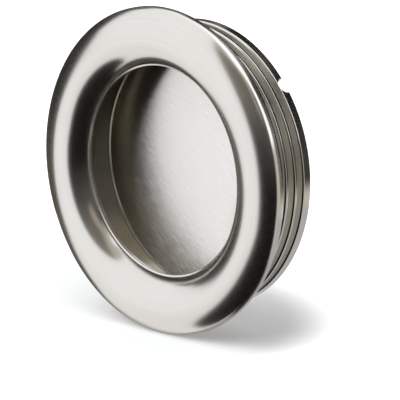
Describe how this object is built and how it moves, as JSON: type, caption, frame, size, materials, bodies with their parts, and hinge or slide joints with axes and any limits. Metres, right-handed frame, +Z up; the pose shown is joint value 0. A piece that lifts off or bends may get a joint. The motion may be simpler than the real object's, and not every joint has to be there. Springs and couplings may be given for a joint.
{
  "type": "round recessed pull",
  "caption": "Round flush pull for a sliding door or drawer: a crowned ring with a ribbed barrel that presses into a drilled hole and a shallow dish for the fingers.",
  "frame": {"origin": "on the pull's axis, in the plane where the back of the flange meets the door", "axes": "+Y into the door along the barrel's axis, so the crowned front looks along -Y; +Z up; the notch in the rear edge lies between +X and +Z"},
  "size_m": [0.065, 0.0165, 0.065],
  "materials": {
    "satin_nickel_ring": "satin nickel plate, brushed on the front, matt as cast between the ribs, bright on the rear skirt",
    "satin_nickel_dish": "satin nickel plate, finely brushed"
  },
  "bodies": {
    "root": {"pull_ring": "satin_nickel_ring", "dish": "satin_nickel_dish"}
  },
  "joints": []
}
